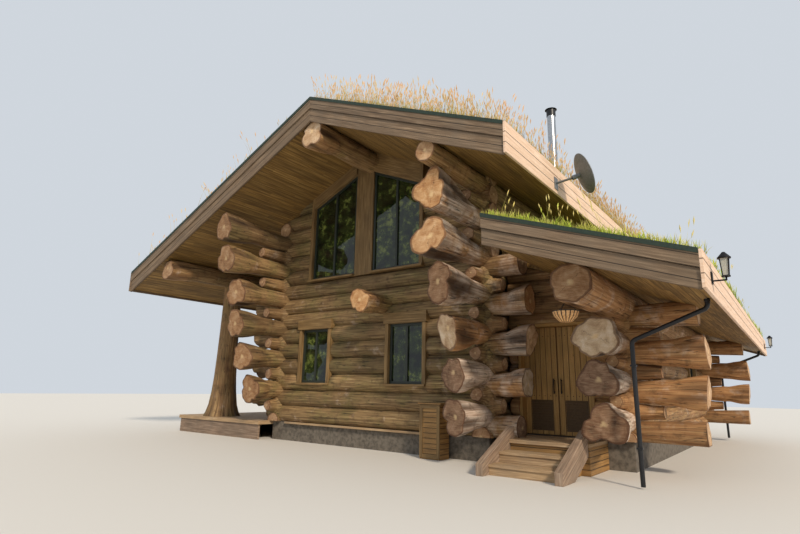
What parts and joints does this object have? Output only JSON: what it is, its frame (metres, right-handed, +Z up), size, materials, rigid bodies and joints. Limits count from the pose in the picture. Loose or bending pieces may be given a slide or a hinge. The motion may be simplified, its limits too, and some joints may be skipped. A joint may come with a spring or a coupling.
{
  "type": "log cabin",
  "caption": "Round-log cabin with a low gabled turf roof, a stepped lean-to with double doors, flared log ends, a raised porch and a veranda under the long left eave.",
  "frame": {"origin": "on the ground under the middle of the front gable wall, below the ridge line", "axes": "+X to the right seen from the front, +Y from the front wall to the back, +Z up"},
  "size_m": [14.9705, 14.1848, 9.2],
  "materials": {
    "weathered_log": "weathered bare timber",
    "brown_board": "oiled timber",
    "soffit_board": "bare timber",
    "grass_turf": "dry grass on turf",
    "grey_board": "weathered timber",
    "new_board": "fresh timber",
    "green_metal": "satin",
    "green_painted_wood": "satin paint",
    "clear_glass": "clear",
    "foundation_stone": "rough",
    "floor_board": "weathered timber",
    "door_wood": "oiled timber",
    "dark_louvre": "dark stain",
    "black_iron": "matt black",
    "stainless": "brushed",
    "black_metal": "satin",
    "grey_metal": "matt",
    "cabinet_wood": "oiled timber",
    "basket_slats": "bare timber"
  },
  "bodies": {
    "cabin": {"back_wall_logs": "weathered_log", "base_flashing": "brown_board", "dish_arm": "grey_metal", "door_frame": "door_wood", "door_hinges": "black_iron", "door_lintel_log": "weathered_log", "downpipes": "black_metal", "drip_edges": "green_metal", "flue": "stainless", "flue_cap": "black_metal", "front_wall_logs": "weathered_log", "gable_posts": "brown_board", "gable_window_boards": "brown_board", "hanging_basket": "basket_slats", "joist_log": "weathered_log", "lantern_frames": "black_iron", "lantern_glass": "clear_glass", "leanto_back_logs": "weathered_log", "leanto_bargeboards": "grey_board", "leanto_eave_boards": "new_board", "leanto_floor": "floor_board", "leanto_front_logs": "weathered_log", "leanto_over_door_logs": "weathered_log", "leanto_roof_deck": "soffit_board", "leanto_side_logs": "weathered_log", "leanto_turf": "grass_turf", "left_eave_boards": "grey_board", "left_wall_logs": "weathered_log", "main_bargeboards": "grey_board", "main_floor": "floor_board", "meter_cabinet": "cabinet_wood", "plinth": "foundation_stone", "porch_base": "foundation_stone", "porch_floor": "floor_board", "porch_steps": "floor_board", "ridge_log": "weathered_log", "right_eave_boards": "new_board", "right_wall_logs": "weathered_log", "roof_deck_left": "soffit_board", "roof_deck_right": "soffit_board", "satellite_dish": "grey_metal", "step_stringers": "floor_board", "turf_left": "grass_turf", "turf_right": "grass_turf", "veranda_deck": "floor_board", "veranda_posts": "weathered_log", "veranda_purlin": "weathered_log", "veranda_skirt": "floor_board", "window_casings": "brown_board", "window_frames": "green_painted_wood", "window_glass": "clear_glass"},
    "left_leaf": {"door_left": "door_wood", "door_left_louvre": "dark_louvre", "door_left_handles": "black_iron"},
    "right_leaf": {"door_right": "door_wood", "door_right_louvre": "dark_louvre", "door_right_handles": "black_iron"}
  },
  "joints": [
    {"name": "left_leaf_hinge", "type": "hinge", "parent": "cabin", "child": "left_leaf", "pos_m": [3.583, 0.87, 0.527], "axis": [0, 0, 1], "range_deg": [0, 95]},
    {"name": "right_leaf_hinge", "type": "hinge", "parent": "cabin", "child": "right_leaf", "pos_m": [4.957, 0.87, 0.527], "axis": [0, 0, -1], "range_deg": [0, 95]}
  ]
}
